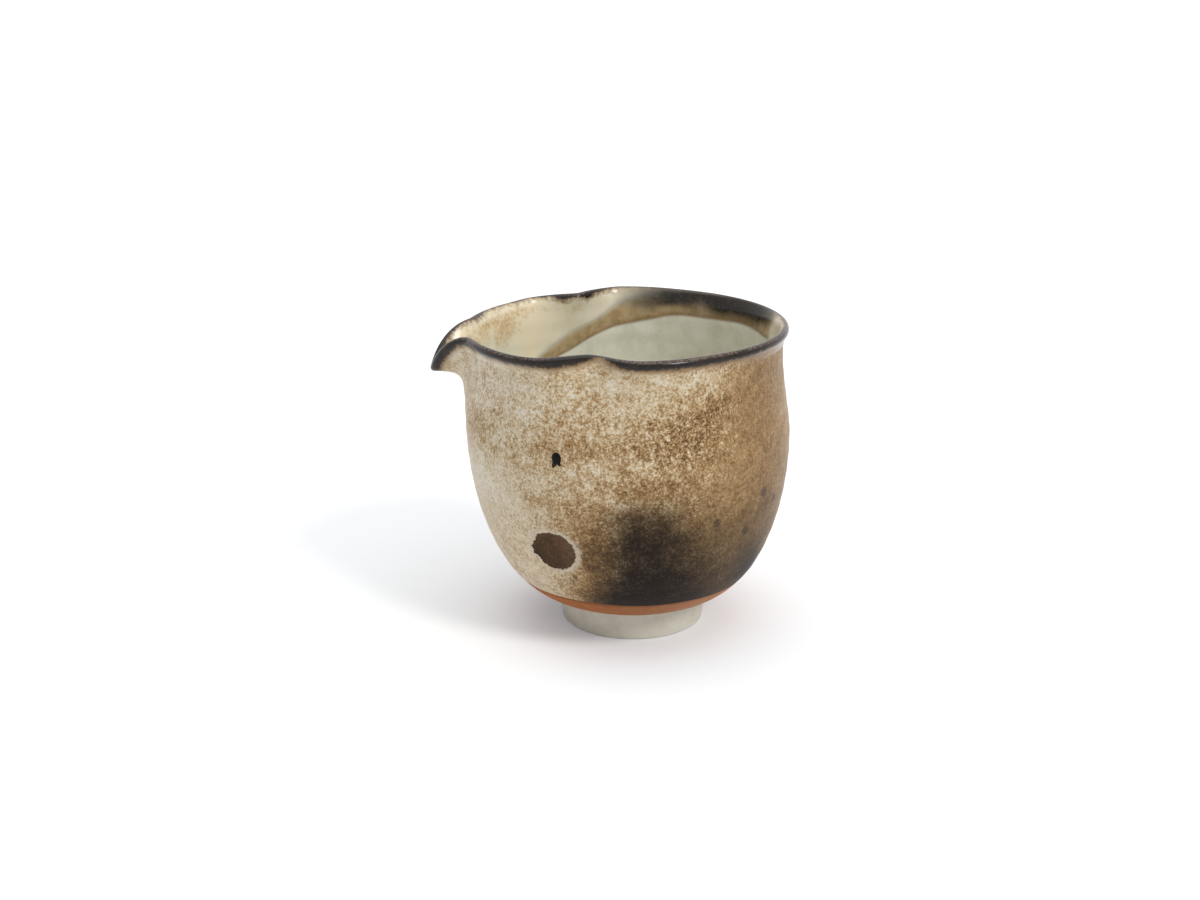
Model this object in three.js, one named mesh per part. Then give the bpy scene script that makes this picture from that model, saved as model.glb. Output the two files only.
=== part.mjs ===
// A small stoneware pouring bowl, thrown on the wheel, with one lip pulled out into a spout.
// Millimetres and degrees. The spout points along -X and the bowl stands on the plane z = 0.
import * as THREE from 'three';

// Foot ring, turned from the clay under the bowl
const footRadius = 19.4;
const footSpread = 0.9;
const footWall = 5.2;
const footChamfer = 0.6;

// Outer face of the bowl, from just inside the foot's edge out to the belly and up to the plain rim
const underInset = 0.1;
const underHeight = 8.15;
const underReach = 15.3;
const bellyRadius = 43.5;
const bellyHeight = 54.5;
const bellyFullness = 21.8;
const shoulderRise = 6;
const rimInset = 1.6;
const rimHeight = 83.3;
const rimFlare = 38;
const rimHandle = 5;

// Wall thickness at the plain lip, at the beak's tip and just above the foot, glazes included
const lipThickness = 2.4;
const tipThickness = 2;
const baseThickness = 4.6;

// The lobe that the potter's fingers left each side of the spout, and the two notches that end it
const lobeSpan = 80;
const lobeDrop = 1.4;
const lobeSwell = 0.35;
const notchBearing = 72;
const notchDepth = 5.1;
const notchWidth = 16.8;
const notchTip = 2;
const notchSharpness = 1.3;
const notchLean = -25;

// Past each notch the plain rim swells out a little before it runs true
const swellSpan = 25;
const swell = 0.9;

// The spout's beak: how far it reaches past the rim, how far it droops, and how wide it opens
const beakReach = 8.75;
const beakWidth = 17.4;
const beakDroop = 9.6;
const beakTip = 4.1;
const droopWidth = 11.6;
const droopSharpness = 2.4;
const beakFlare = 86;
const beakHandle = 8.9;
const beakRise = 14.9;

// The hand-thrown wall leans a little towards its spout, in millimetres per millimetre of height
const lean = 0.028;

// Coats on the clay, and the clearance between two layers
const coat = 0.35;
const clearance = 0.3;

// The flashed band starts this far outside the foot and ends this far above the clay's underside,
// and the dark rim glaze reaches this far down from the lip on both sides
const bandStart = 1.6;
const glazeEdgeRise = 6.95;
const rimCoatDrop = 2.6;

// Sizes that follow from those above: where the wall starts, the plain lip's middle and the glaze's edge
const underRadius = footRadius - underInset;
const rimRadius = bellyRadius - rimInset;
const glazeEdgeHeight = underHeight + glazeEdgeRise;

// How the surface is measured: the belly's place between foot and lip, and the short rise and the
// few degrees over which the wall's direction is taken
const bellyRise = 0.5;
const shortRise = 1e-4;
const spread = 4.5;

// Sections over each stretch of the rim, cells up each part of the wall, and sides of the foot
const beakSections = 5;
const lobeSections = 5;
const notchSections = 5;
const swellSections = 2;
const backSections = 8;
const bandCells = 3;
const underCells = 4;
const shoulderCells = 5;
const lipCells = 4;
const footSides = 60;

const radians = Math.PI / 180;

/** 1 at the middle, 0 from half a width away, with a level top and a level end. */
function hump(distance, halfWidth) {
  const share = Math.min(1, Math.abs(distance) / halfWidth);
  return (1 + Math.cos(Math.PI * share)) / 2;
}

/** 1 at the middle, falling almost straight to 0, with a tip rounded over a few degrees. */
function peak(distance, halfWidth, tip, power) {
  const rounded = Math.hypot(distance, tip) - tip;
  return Math.max(0, 1 - rounded / halfWidth) ** power;
}

function mix(a, b, share) {
  return a + (b - a) * share;
}

/** Point of a cubic Bezier curve in the plane of radius and height. */
function bezier(a, b, c, d, t) {
  const s = 1 - t;
  return [0, 1].map((k) => s ** 3 * a[k] + 3 * s * s * t * b[k] + 3 * s * t * t * c[k] + t ** 3 * d[k]);
}

/** How much of each feature of the lip there is at a bearing from the spout, from 0 to 1. */
function lipShape(bearing) {
  const turn = Math.abs(bearing);
  return {
    notch: peak(turn - notchBearing, notchWidth, notchTip, notchSharpness),
    swelling: hump(turn - notchBearing - swellSpan, swellSpan),
    beak: hump(turn, beakWidth),
    droop: peak(turn, droopWidth, beakTip, droopSharpness),
    lobe: hump(Math.max(0, turn - lobeSpan / 2), lobeSpan / 2),
  };
}

/** Thickness of the finished lip. */
function lipWall(bearing) {
  return mix(lipThickness, tipThickness, hump(bearing, beakWidth));
}

/** Outer face of the bowl at one bearing: rise 0 is the foot, 0.5 the belly and 1 the lip. */
function outline(bearing, rise) {
  const belly = [bellyRadius, bellyHeight];
  if (rise <= bellyRise) {
    const under = [underRadius, underHeight];
    const along = [underRadius + underReach, underHeight];
    return bezier(under, along, [bellyRadius, bellyHeight - bellyFullness], belly, rise / bellyRise);
  }
  const { notch, swelling, beak, droop, lobe } = lipShape(bearing);
  const flare = mix(mix(rimFlare, notchLean, notch), beakFlare, beak) * radians;
  const handle = mix(rimHandle, beakHandle, beak);
  const half = lipWall(bearing) / 2;
  const middle = rimRadius + lobeSwell * lobe + swell * swelling - notchDepth * notch + beakReach * beak;
  const radius = middle + half * Math.cos(flare);
  const height = rimHeight - lobeDrop * lobe - beakDroop * droop - half - half * Math.sin(flare);
  const shoulder = [bellyRadius, bellyHeight + mix(shoulderRise, beakRise, beak)];
  const below = [radius - handle * Math.sin(flare), height - handle * Math.cos(flare)];
  return bezier(belly, shoulder, below, [radius, height], (rise - bellyRise) / (1 - bellyRise));
}

/** The same face as a point in space. */
function outside(bearing, rise) {
  const [radius, height] = outline(bearing, rise);
  const angle = (180 + bearing) * radians;
  return new THREE.Vector3(radius * Math.cos(angle) - lean * height, radius * Math.sin(angle), height);
}

/** Thickness of the whole wall, glazes included. */
function wall(bearing, rise) {
  return mix(baseThickness, lipWall(bearing), Math.sin(rise * Math.PI / 2));
}

/**
 * A point a given depth under the outer face, and raised along the wall's own direction. The depth
 * runs square to the wall as it lies over a few degrees each side, which keeps the beak's inner
 * face from folding over itself where the outer face bends sharply.
 */
function within(bearing, rise, depth, lift = 0) {
  const across = outside(bearing + spread, rise).sub(outside(bearing - spread, rise));
  const along = outside(bearing, rise + shortRise).sub(outside(bearing, rise - shortRise)).normalize();
  const normal = across.cross(along).normalize();
  return outside(bearing, rise).addScaledVector(normal, -depth).addScaledVector(along, lift);
}

/** The rise between two others where a test that holds at the first stops holding, by halving. */
function lastRise(from, to, holds) {
  let low = from;
  let high = to;
  while (high - low > shortRise) {
    const middle = (low + high) / 2;
    if (holds(middle)) {
      low = middle;
    } else {
      high = middle;
    }
  }
  return low;
}

/** The rise at which the round lower wall has a given radius (part 0) or height (part 1). */
function riseWhere(part, value) {
  return lastRise(0, bellyRise, (rise) => outline(180, rise)[part] < value);
}

/** The rise at which the upper wall lies a given distance below the lip. */
function riseUnderLip(bearing, distance) {
  const lip = outside(bearing, 1);
  return lastRise(bellyRise, 1, (rise) => outside(bearing, rise).distanceTo(lip) > distance);
}

/** Bearings of the sections, close together at the beak and the notches and wide apart behind. */
function bearings() {
  const half = [
    ...evenly(0, beakWidth, beakSections),
    ...evenly(beakWidth, notchBearing - notchWidth, lobeSections).slice(1),
    ...evenly(notchBearing - notchWidth, notchBearing, notchSections).slice(1),
    ...evenly(notchBearing, notchBearing + notchWidth, notchSections).slice(1),
    ...evenly(notchBearing + notchWidth, notchBearing + swellSpan, swellSections).slice(1),
    ...evenly(notchBearing + swellSpan, 180, backSections).slice(1),
  ];
  return [...half.slice(1, -1).reverse().map((bearing) => -bearing), ...half];
}

/** Rises that every layer shares at one bearing, split where one layer ends and the next begins. */
function ladder(bearing) {
  const bandFrom = riseWhere(0, footRadius + footSpread + clearance + bandStart);
  const bandTo = riseWhere(1, glazeEdgeHeight - clearance);
  const glazeFrom = riseWhere(1, glazeEdgeHeight);
  const glazeTo = riseUnderLip(bearing, rimCoatDrop + clearance);
  const rimFrom = riseUnderLip(bearing, rimCoatDrop);
  return {
    foot: [0],
    band: evenly(bandFrom, bandTo, bandCells),
    glaze: [
      ...evenly(glazeFrom, bellyRise, underCells),
      ...evenly(bellyRise, glazeTo, shoulderCells).slice(1),
    ],
    rim: [rimFrom, (rimFrom + 1) / 2],
  };
}

/** Evenly spaced values from one to another, both included. */
function evenly(from, to, count) {
  return Array.from({ length: count + 1 }, (_, k) => mix(from, to, k / count));
}

/** Points up the wall, a given depth in from its outside. */
function upOutside(bearing, rises, depth) {
  return rises.map((rise) => within(bearing, rise, depth));
}

/** Points down the wall, a given depth out from its inside. */
function downInside(bearing, rises, depth) {
  return [...rises].reverse().map((rise) => within(bearing, rise, wall(bearing, rise) - depth));
}

/** The rounded lip, a given depth inside the finished surface, from outside to inside. */
function lipRound(bearing, depth) {
  const half = lipWall(bearing) / 2;
  const radius = half - depth;
  return evenly(0, 180, lipCells).map((angle) => within(
    bearing,
    1,
    half - radius * Math.cos(angle * radians),
    radius * Math.sin(angle * radians),
  ));
}

/** A four-sided cell cut along its shorter diagonal, so that stacked layers bend alike. */
function twoTriangles(points, [a, b, c, d]) {
  if (points[a].distanceTo(points[c]) < points[b].distanceTo(points[d])) {
    return [a, b, c, a, c, d];
  }
  return [a, b, d, b, c, d];
}

/** A closed solid from one section for each bearing, listed up the outside and down the inside. */
function roundSolid(name, section, poles, look) {
  const rings = bearings().map(section);
  const count = rings[0].length;
  const points = rings.flat();
  const faces = [];
  const closed = poles.length === 0;
  rings.forEach((_, here) => {
    const next = (here + 1) % rings.length;
    for (let k = 0; k < (closed ? count : count - 1); k += 1) {
      const above = (k + 1) % count;
      const corners = [here * count + k, next * count + k, next * count + above, here * count + above];
      faces.push(...twoTriangles(points, corners));
    }
    if (!closed) {
      faces.push(points.length, next * count, here * count);
      faces.push(here * count + count - 1, next * count + count - 1, points.length + 1);
    }
  });
  const geometry = new THREE.BufferGeometry().setFromPoints([...points, ...poles]);
  geometry.setIndex(faces);
  geometry.computeVertexNormals();
  return namedMesh(name, geometry, look);
}

function namedMesh(name, geometry, [color, roughness]) {
  const material = new THREE.MeshStandardMaterial({ color, roughness, metalness: 0 });
  const mesh = new THREE.Mesh(geometry, material);
  mesh.name = name;
  return mesh;
}

/** The thrown clay: underside, wall with its pulled spout, lip and floor, all under the glazes. */
function clayBody() {
  const depth = coat + clearance;
  const section = (bearing) => {
    const { foot, band, glaze, rim } = ladder(bearing);
    const rises = [...foot, ...band, ...glaze, ...rim];
    return [
      ...upOutside(bearing, rises, depth),
      ...lipRound(bearing, depth),
      ...downInside(bearing, rises, depth),
    ];
  };
  const underside = new THREE.Vector3(-lean * underHeight, 0, underHeight + depth);
  const floor = new THREE.Vector3(-lean * underHeight, 0, underHeight + baseThickness - depth);
  return roundSolid('clay_body', section, [underside, floor], [0xb9aa97, 0.9]);
}

/** The foot ring, a little narrower where it stands, with both bottom edges taken off. */
function footRing() {
  const top = underHeight + coat;
  const inner = footRadius - footWall;
  const profile = [
    [inner + footChamfer, 0],
    [footRadius - footChamfer, 0],
    [footRadius, footChamfer],
    [footRadius + footSpread, top],
    [inner - footSpread / 2, top],
    [inner, footChamfer],
    [inner + footChamfer, 0],
  ];
  const section = profile.map(([r, z]) => new THREE.Vector2(r, z));
  const geometry = new THREE.LatheGeometry(section, footSides);
  geometry.rotateX(Math.PI / 2);
  return namedMesh('foot_ring', geometry, [0xbdb4a4, 0.75]);
}

/** Bare clay flashed orange by the kiln, between the foot and the lower edge of the glaze. */
function rustBand() {
  const section = (bearing) => {
    const { band } = ladder(bearing);
    return [...upOutside(bearing, band, 0), ...upOutside(bearing, band, coat).reverse()];
  };
  return roundSolid('rust_band', section, [], [0x9b5f3a, 0.7]);
}

/** The speckled ash glaze outside, from above the rust band to the dark rim. */
function outerGlaze() {
  const section = (bearing) => {
    const { glaze } = ladder(bearing);
    return [...upOutside(bearing, glaze, 0), ...upOutside(bearing, glaze, coat).reverse()];
  };
  return roundSolid('outer_glaze', section, [], [0xb39c78, 0.35]);
}

/** The pale green glaze inside, over the floor and up to the dark rim. */
function innerGlaze() {
  const section = (bearing) => {
    const { foot, band, glaze } = ladder(bearing);
    const rises = [...foot, ...band, ...glaze];
    return [...downInside(bearing, rises, coat).reverse(), ...downInside(bearing, rises, 0)];
  };
  const centre = -lean * underHeight;
  const under = new THREE.Vector3(centre, 0, underHeight + baseThickness - coat);
  const top = new THREE.Vector3(centre, 0, underHeight + baseThickness);
  return roundSolid('inner_glaze', section, [under, top], [0xb0ab92, 0.2]);
}

/** The iron-dark glaze that saddles the lip. */
function rimGlaze() {
  const section = (bearing) => {
    const { rim } = ladder(bearing);
    const loop = (depth) => [
      ...upOutside(bearing, rim, depth),
      ...lipRound(bearing, depth),
      ...downInside(bearing, rim, depth),
    ];
    return [...loop(0), ...loop(coat).reverse()];
  };
  return roundSolid('rim_glaze', section, [], [0x37302d, 0.25]);
}

const pot = new THREE.Group();
pot.add(clayBody(), footRing(), rustBand(), outerGlaze(), innerGlaze(), rimGlaze());

// The origin is under the middle of the whole pot, spout included
const box = new THREE.Box3().setFromObject(pot);
pot.position.set(-(box.min.x + box.max.x) / 2, -(box.min.y + box.max.y) / 2, -box.min.z);
pot.updateMatrixWorld(true);

const group = new THREE.Group();
group.add(pot);
export default group;
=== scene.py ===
# %% [markdown]
# This lesson dresses a small Japanese pouring bowl, thrown in stoneware, with one lip pulled out
# into a spout. The bowl itself is already built to size as plain solids. Here each solid gets a
# fine surface and its fired finish: pale ash glaze, rusty bare clay, a dark iron edge and a green
# inside. The work goes from shape to colour to light, one small cell at a time.

# %% Load the bowl's solids
import bpy
import numpy as np
from mathutils import Matrix, Vector


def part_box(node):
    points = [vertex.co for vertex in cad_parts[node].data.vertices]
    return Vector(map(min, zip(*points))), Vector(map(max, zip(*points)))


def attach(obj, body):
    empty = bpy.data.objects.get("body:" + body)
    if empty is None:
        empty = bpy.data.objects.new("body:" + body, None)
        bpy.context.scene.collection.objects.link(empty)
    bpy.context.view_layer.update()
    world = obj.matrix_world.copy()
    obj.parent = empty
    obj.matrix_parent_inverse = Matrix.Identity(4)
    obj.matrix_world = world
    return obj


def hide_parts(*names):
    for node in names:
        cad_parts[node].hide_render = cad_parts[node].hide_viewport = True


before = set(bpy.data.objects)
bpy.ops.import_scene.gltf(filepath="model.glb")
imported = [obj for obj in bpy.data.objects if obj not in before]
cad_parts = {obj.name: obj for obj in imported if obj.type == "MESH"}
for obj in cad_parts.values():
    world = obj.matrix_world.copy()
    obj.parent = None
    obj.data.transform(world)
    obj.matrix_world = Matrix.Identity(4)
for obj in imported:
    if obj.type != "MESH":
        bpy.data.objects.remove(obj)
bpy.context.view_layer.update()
print("solids:", sorted(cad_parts))

# %% [markdown]
# Everything on the bowl is measured from the middle of its foot, because that is where the wheel's
# axis was when it was thrown. The foot ring is a solid of its own, so its box gives that middle.
# Shapes below are worked out in millimetres, which suit a pot of this size, and are turned into
# metres only when a mesh is made.

# %% Find the wheel's axis
METRE = 0.001
foot_low, foot_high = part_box("foot_ring")
axis_point = np.array([(foot_low.x + foot_high.x) / 2, (foot_low.y + foot_high.y) / 2, foot_low.z])
print("wheel axis stands at", np.round(axis_point, 4))

# %% [markdown]
# The outside of a thrown pot is one curve, its profile, carried round the axis. Here the curve
# changes a little with the bearing, the angle from the spout, because fingers pulled the spout and
# pinched a notch on each side of it. Two simple functions describe such touches: a hump, which is
# a fingertip's soft push, and a peak, which is a pinch that ends in a point.

# %% Soft pushes and pinches
def hump(distance, half_width):
    """1 in the middle and 0 from half a width away: half of one cosine wave, lifted above zero."""
    share = np.minimum(1, np.abs(distance) / half_width)
    return (1 + np.cos(np.pi * share)) / 2


def peak(distance, half_width, tip, power):
    """1 in the middle, falling almost straight to 0, raised to a power; the tip is rounded off."""
    rounded = np.hypot(distance, tip) - tip
    return np.maximum(0, 1 - rounded / half_width) ** power


def mix(start, end, share):
    """The value that lies a given share of the way from start to end."""
    return start + (end - start) * share


# %% [markdown]
# These are the bowl's own sizes, in millimetres and degrees, the same ones that its solids were
# built from. The profile is two curves that meet at the belly, its widest place: one swells up
# from the foot, and the other closes in to a waist and opens again at the lip.

# %% Sizes of the bowl
UNDER_RADIUS, UNDER_HEIGHT, UNDER_REACH = 19.3, 8.15, 15.3
BELLY_RADIUS, BELLY_HEIGHT, BELLY_FULLNESS = 43.5, 54.5, 21.8
RIM_RADIUS, RIM_HEIGHT, RIM_FLARE, RIM_HANDLE = 41.9, 83.3, 38.0, 5.0
SHOULDER_RISE, BEAK_RISE = 6.0, 14.9
LOBE_SPAN, LOBE_DROP, LOBE_SWELL = 80.0, 1.4, 0.35
NOTCH_BEARING, NOTCH_DEPTH, NOTCH_WIDTH, NOTCH_TIP = 72.0, 5.1, 16.8, 2.0
NOTCH_SHARPNESS, NOTCH_LEAN = 1.3, -25.0
SWELL_SPAN, SWELL = 25.0, 0.9
BEAK_REACH, BEAK_WIDTH, BEAK_FLARE, BEAK_HANDLE = 8.75, 17.4, 86.0, 8.9
BEAK_DROOP, DROOP_WIDTH, BEAK_TIP, DROOP_SHARPNESS = 9.6, 11.6, 4.1, 2.4
LIP_WALL, TIP_WALL, BASE_WALL = 2.4, 2.0, 4.6
LEAN = 0.028
COAT, CLEARANCE = 0.35, 0.3


# %% [markdown]
# A Bezier curve is a good stand-in for a potter's rib: two end points, and two handles that say
# how strongly the wall leaves one and meets the other. The whole outside is then a function of two
# numbers, the bearing from the spout and the rise, which is 0 at the foot, one half at the belly
# and 1 at the lip. All points are worked out at once, as arrays.

# %% The outer face as a function of bearing and rise
def bezier(start, leaving, arriving, end, t):
    """Cubic Bezier: the four values weighted with the terms of (1 - t + t) to the third power."""
    s = 1 - t
    return s**3 * start + 3 * s * s * t * leaving + 3 * s * t * t * arriving + t**3 * end


def lip_wall(bearing):
    """Thickness of the finished lip: thinner at the beak, where the spout was pulled."""
    return mix(LIP_WALL, TIP_WALL, hump(bearing, BEAK_WIDTH))


def profile(bearing, rise):
    """Radius and height of the outer face: a lower Bezier up to the belly, and an upper one whose
    last point and handle follow the humps and peaks of the lip at that bearing."""
    turn = np.abs(bearing)
    notch = peak(turn - NOTCH_BEARING, NOTCH_WIDTH, NOTCH_TIP, NOTCH_SHARPNESS)
    swelling = hump(turn - NOTCH_BEARING - SWELL_SPAN, SWELL_SPAN)
    beak = hump(turn, BEAK_WIDTH)
    droop = peak(turn, DROOP_WIDTH, BEAK_TIP, DROOP_SHARPNESS)
    lobe = hump(np.maximum(0, turn - LOBE_SPAN / 2), LOBE_SPAN / 2)
    flare = np.radians(mix(mix(RIM_FLARE, NOTCH_LEAN, notch), BEAK_FLARE, beak))
    handle = mix(RIM_HANDLE, BEAK_HANDLE, beak)
    half = lip_wall(bearing) / 2
    middle = RIM_RADIUS + LOBE_SWELL * lobe + SWELL * swelling - NOTCH_DEPTH * notch + BEAK_REACH * beak
    lip_radius = middle + half * np.cos(flare)
    lip_height = RIM_HEIGHT - LOBE_DROP * lobe - BEAK_DROOP * droop - half * (1 + np.sin(flare))
    low, high = rise * 2, rise * 2 - 1
    low_radius = bezier(UNDER_RADIUS, UNDER_RADIUS + UNDER_REACH, BELLY_RADIUS, BELLY_RADIUS, low)
    low_height = bezier(UNDER_HEIGHT, UNDER_HEIGHT, BELLY_HEIGHT - BELLY_FULLNESS, BELLY_HEIGHT, low)
    below_radius = lip_radius - handle * np.sin(flare)
    below_height = lip_height - handle * np.cos(flare)
    shoulder = BELLY_HEIGHT + mix(SHOULDER_RISE, BEAK_RISE, beak)
    high_radius = bezier(BELLY_RADIUS, BELLY_RADIUS, below_radius, lip_radius, high)
    high_height = bezier(BELLY_HEIGHT, shoulder, below_height, lip_height, high)
    lower = rise <= 0.5
    return np.where(lower, low_radius, high_radius), np.where(lower, low_height, high_height)


def outside(bearing, rise):
    """Point on the outer face: the profile turned to its bearing, leaning a little to the spout."""
    radius, height = profile(bearing, rise)
    angle = np.radians(180 + bearing)
    return np.stack([radius * np.cos(angle) - LEAN * height, radius * np.sin(angle), height], -1)


tip = outside(np.zeros(1), np.ones(1))[0]
print("the beak's outer edge reaches", round(-tip[0], 1), "mm from the axis at height", round(tip[2], 1))


# %% [markdown]
# Clay has a thickness, and each glaze lies on it as a coat. Every layer is the outer face moved
# inwards along the wall's normal, which is the cross product of a step round the pot and a step up
# it. The step round is a few degrees long, so that the layers don't fold where the beak bends
# sharply.

# %% Layers under the outer face
SHORT_RISE = 1e-4
SPREAD = 4.5


def unit(vectors):
    """Vectors divided by their own lengths."""
    return vectors / np.linalg.norm(vectors, axis=-1, keepdims=True)


def wall_frame(bearing, rise):
    """Outward normal and upward direction of the wall, from the differences of nearby points."""
    across = outside(bearing + SPREAD, rise) - outside(bearing - SPREAD, rise)
    along = unit(outside(bearing, rise + SHORT_RISE) - outside(bearing, rise - SHORT_RISE))
    return unit(np.cross(across, along)), along


def within(bearing, rise, depth, lift=0.0):
    """The outer face moved inwards by depth along its normal, and up the wall by lift."""
    normal, along = wall_frame(bearing, rise)
    depth, lift = np.broadcast_to(depth, rise.shape), np.broadcast_to(lift, rise.shape)
    return outside(bearing, rise) - normal * depth[..., None] + along * lift[..., None]


def wall(bearing, rise):
    """Thickness of the whole wall, which thins from the base to the lip along a sine."""
    return mix(BASE_WALL, lip_wall(bearing), np.sin(np.minimum(1, rise) * np.pi / 2))


# %% [markdown]
# Nothing thrown by hand is perfectly even. The fingers leave faint rings as they climb, and the
# wall wanders by a few hundredths of a millimetre. A sum of waves round and up the pot, with
# whole numbers of waves round it so that it closes, gives such a wandering. The seed is fixed, so
# the pot is the same each time.

# %% Wandering surfaces
def wander(bearing, height, seed, waves_round=5, wavelength=24.0, terms=7):
    """Sum of cosines of (whole number x bearing + height / wavelength + phase), about -1 to 1."""
    draw = np.random.default_rng(seed)
    total = np.zeros(np.broadcast(bearing, height).shape)
    for _ in range(terms):
        around = draw.integers(-waves_round, waves_round + 1)
        upward = draw.uniform(-1, 1) * 2 * np.pi / wavelength
        phase = draw.uniform(0, 2 * np.pi)
        total = total + np.cos(around * np.radians(bearing) + upward * height + phase)
    return total / np.sqrt(2 * terms)


RING_PITCH, RING_DEPTH, RING_WAVER = 5.2, 0.035, 0.4
WANDER_DEPTH, WANDER_SHARE = 0.06, 0.6
LIP_FADE = 0.08


def unevenness(bearing, rise, seed):
    """Depth of throwing rings and wandering in mm; never above the face, and none at the lip."""
    height = profile(bearing, rise)[1]
    wavering = height + RING_WAVER * wander(bearing, height, seed)
    rings = 1 + np.cos(2 * np.pi * wavering / RING_PITCH)
    drift = 1 + WANDER_SHARE * wander(bearing, height, seed + 1)
    fade = np.clip((1 - rise) / LIP_FADE, 0, 1)
    return fade * (RING_DEPTH * rings + WANDER_DEPTH * drift)


# %% [markdown]
# Every piece of the bowl goes right round it, so one helper makes them all. It takes rows of
# points, one row for each line round the pot, listed up the outside and down the inside, and joins
# them into a closed mesh. Where a piece ends on the axis, a pole point closes it. Rows where a
# coat is cut off square are marked as sharp, so that light doesn't smear round the cut.

# %% From rows of points to a closed mesh
COLUMNS = 480
BEARINGS = np.arange(COLUMNS) * 360 / COLUMNS - 180


def ring_faces(rows, columns, poles):
    """Corner numbers of the four-sided cells, and of the fans of triangles round the poles."""
    here = np.arange(columns)
    there = (here + 1) % columns
    low = np.arange(rows - 1 if poles else rows)[:, None] * columns
    high = (low + columns) % (rows * columns)
    cells = np.stack([low + here, low + there, high + there, high + here], -1).reshape(-1, 4)
    if not poles:
        return cells, np.zeros((0, 3), int)
    first, last = rows * columns, (rows - 1) * columns
    bottom = np.stack([np.full(columns, first), there, here], -1)
    top = np.stack([last + here, last + there, np.full(columns, first + 1)], -1)
    return cells, np.concatenate([bottom, top])


def make_piece(name, grid, marks=None, sharp_rows=(), poles=()):
    """Mesh from a grid of points in mm, shaped (rows, columns, 3), with one value per point for
    each mark that a material will read."""
    rows, columns = grid.shape[:2]
    points = np.concatenate([grid.reshape(-1, 3), np.array(poles, float).reshape(-1, 3)])
    cells, fans = ring_faces(rows, columns, len(poles) > 0)
    mesh = bpy.data.meshes.new(name)
    mesh.from_pydata(points * METRE + axis_point, [], cells.tolist() + fans.tolist())
    mesh.polygons.foreach_set("use_smooth", np.ones(len(mesh.polygons), bool))
    edges = np.empty(len(mesh.edges) * 2, np.int32)
    mesh.edges.foreach_get("vertices", edges)
    start_row, end_row = (edges.reshape(-1, 2) // columns).T
    sharp = (start_row == end_row) & np.isin(start_row, [row % rows for row in sharp_rows])
    mesh.edges.foreach_set("use_edge_sharp", sharp)
    for mark, values in (marks or {}).items():
        field = mesh.attributes.new(mark, "FLOAT", "POINT")
        values = np.broadcast_to(values, grid.shape[:2])
        ends = [values[0].mean(), values[-1].mean()][: len(poles)]
        field.data.foreach_set("value", np.concatenate([values.ravel(), ends]).astype(np.float32))
    mesh.update()
    piece = bpy.data.objects.new(name, mesh)
    bpy.context.scene.collection.objects.link(piece)
    corners = points[cells]
    spans = np.cross(corners[:, 2] - corners[:, 0], corners[:, 3] - corners[:, 1]) / 2
    volume = (corners.mean(1) * spans).sum() / 3
    print(name, "has", len(mesh.vertices), "points; its cells enclose", round(volume), "cubic mm")
    return piece


# %% [markdown]
# A coat starts and ends at a height above the table or a distance below the lip, and both differ
# from bearing to bearing. The rise that gives them is found by halving: try the middle, keep the
# half that holds the answer, and repeat. All bearings are halved together.

# %% Find the rise for a height or a distance
BELLY_RISE, HALVINGS = 0.5, 30


def find_rise(low, high, too_low):
    """The rise between low and high, for each bearing, where too_low turns from true to false."""
    low, high = np.full(COLUMNS, float(low)), np.full(COLUMNS, float(high))
    for _ in range(HALVINGS):
        middle = (low + high) / 2
        below = too_low(middle)
        low, high = np.where(below, middle, low), np.where(below, high, middle)
    return low


def rise_at_height(height):
    """The rise at which the lower wall has a given height."""
    return find_rise(0, BELLY_RISE, lambda rise: profile(BEARINGS, rise)[1] < height)


def rise_under_lip(distance):
    """The rise at which the upper wall lies a given distance below the lip."""
    lip = outside(BEARINGS, np.ones(COLUMNS))
    return find_rise(BELLY_RISE, 1, lambda rise: gap(outside(BEARINGS, rise), lip) > distance)


def gap(first, second):
    """Straight distance between two sets of points."""
    return np.linalg.norm(first - second, axis=-1)


GLAZE_EDGE_HEIGHT, EDGE_WAVER, EDGE_SEED = 15.1, 0.22, 11
RIM_DROP = 2.6
edge_height = GLAZE_EDGE_HEIGHT + EDGE_WAVER * wander(BEARINGS, 0, EDGE_SEED, waves_round=9)
glaze_start = rise_at_height(edge_height)
rim_start = rise_under_lip(RIM_DROP)
print("the glaze starts", np.round([edge_height.min(), edge_height.max()], 2), "mm up")


# %% [markdown]
# The kiln coloured this pot: ash settled on the spout's side, iron came through it in the middle,
# and embers charred it low on the front. Each such place is listed as a soft spot with a bearing,
# a height, a width in degrees, a tallness in millimetres and a strength. The spots are worked out
# for every point of the mesh, so that they hold at any angle of view. Where a thing changes only
# round the pot, a spot has just a bearing, a width and a strength.

# %% Soft spots and soft edges
def turned(bearing, start):
    """Bearing counted from another one, between -180 and 180 degrees."""
    return (bearing - start + 180) % 360 - 180


def spots(bearing, height, places):
    """Sum of bells: strength x exp(-(degrees / width) squared - (millimetres / tallness) squared)."""
    total = np.zeros(np.broadcast(bearing, height).shape)
    for place, level, width, tallness, strength in places:
        away = (turned(bearing, place) / width) ** 2 + ((height - level) / tallness) ** 2
        total = total + strength * np.exp(-away)
    return total


def spots_round(bearing, places):
    """The same bells for things that don't change with the height."""
    return spots(bearing, 0, [(place, 0, width, 1, strength) for place, width, strength in places])


def soft(value, start, end):
    """0 below start, 1 above end and an S curve between: 3 t squared - 2 t cubed."""
    share = np.clip((value - start) / (end - start), 0, 1)
    return share * share * (3 - 2 * share)
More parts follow.
